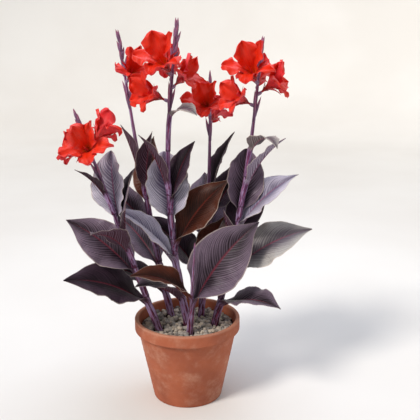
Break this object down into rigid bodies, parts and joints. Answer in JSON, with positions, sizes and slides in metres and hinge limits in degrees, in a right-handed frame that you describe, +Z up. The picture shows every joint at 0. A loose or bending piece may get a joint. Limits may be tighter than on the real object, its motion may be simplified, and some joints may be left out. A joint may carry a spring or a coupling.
{
  "type": "potted canna lily",
  "caption": "Clump of dark-leaved canna with scarlet blooms on purple stems, growing in gravel-topped soil in a plain round clay pot.",
  "frame": {"origin": "middle of the pot's foot, on the surface that the pot stands on", "axes": "+Z up along the pot's axis, -Y towards the front of the plant, +X to its right"},
  "size_m": [0.8163, 0.5856, 1.2759],
  "materials": {
    "clay": "matte",
    "soil": "matte",
    "gravel": "matte",
    "stem": "satin",
    "leaf": "satin",
    "petal": "satin"
  },
  "bodies": {
    "root": {"pot": "clay", "soil": "soil", "gravel": "gravel", "shoot_centre": "stem", "shoot_left": "stem", "shoot_right": "stem", "shoot_middle": "stem", "shoot_back": "stem", "shoot_front": "stem", "leaf_centre_folded": "leaf", "leaf_centre_front": "leaf", "leaf_centre_right": "leaf", "leaf_centre_cupped": "leaf", "leaf_centre_high": "leaf", "leaf_centre_bract": "leaf", "leaf_left_low": "leaf", "leaf_left_wide": "leaf", "leaf_left_front": "leaf", "leaf_left_fan": "leaf", "leaf_left_small": "leaf", "leaf_right_front": "leaf", "leaf_right_low": "leaf", "leaf_right_back": "leaf", "leaf_right_cupped": "leaf", "leaf_right_outer": "leaf", "leaf_right_pale": "leaf", "leaf_middle_low": "leaf", "leaf_middle_brown": "leaf", "leaf_middle_back": "leaf", "leaf_middle_tall": "leaf", "leaf_back_under": "leaf", "leaf_back_low": "leaf", "leaf_back_left": "leaf", "leaf_back_inner": "leaf", "leaf_back_tall": "leaf", "leaf_front_hero": "leaf", "leaf_front_low": "leaf", "leaf_middle_left": "leaf", "leaf_middle_right": "leaf", "leaf_back_high": "leaf", "leaf_right_inner": "leaf", "leaf_right_wide": "leaf", "leaf_left_inner": "leaf", "leaf_centre_upper": "leaf", "bloom_centre_main": "petal", "bloom_centre_low": "petal", "bloom_centre_right": "petal", "bloom_centre_back": "petal", "bloom_left_main": "petal", "bloom_left_side": "petal", "bloom_left_high": "petal", "bloom_right_main": "petal", "bloom_right_low": "petal", "bloom_right_side": "petal", "bloom_right_back": "petal", "bloom_middle_main": "petal", "bloom_middle_back": "petal", "bloom_back_main": "petal"}
  },
  "joints": []
}
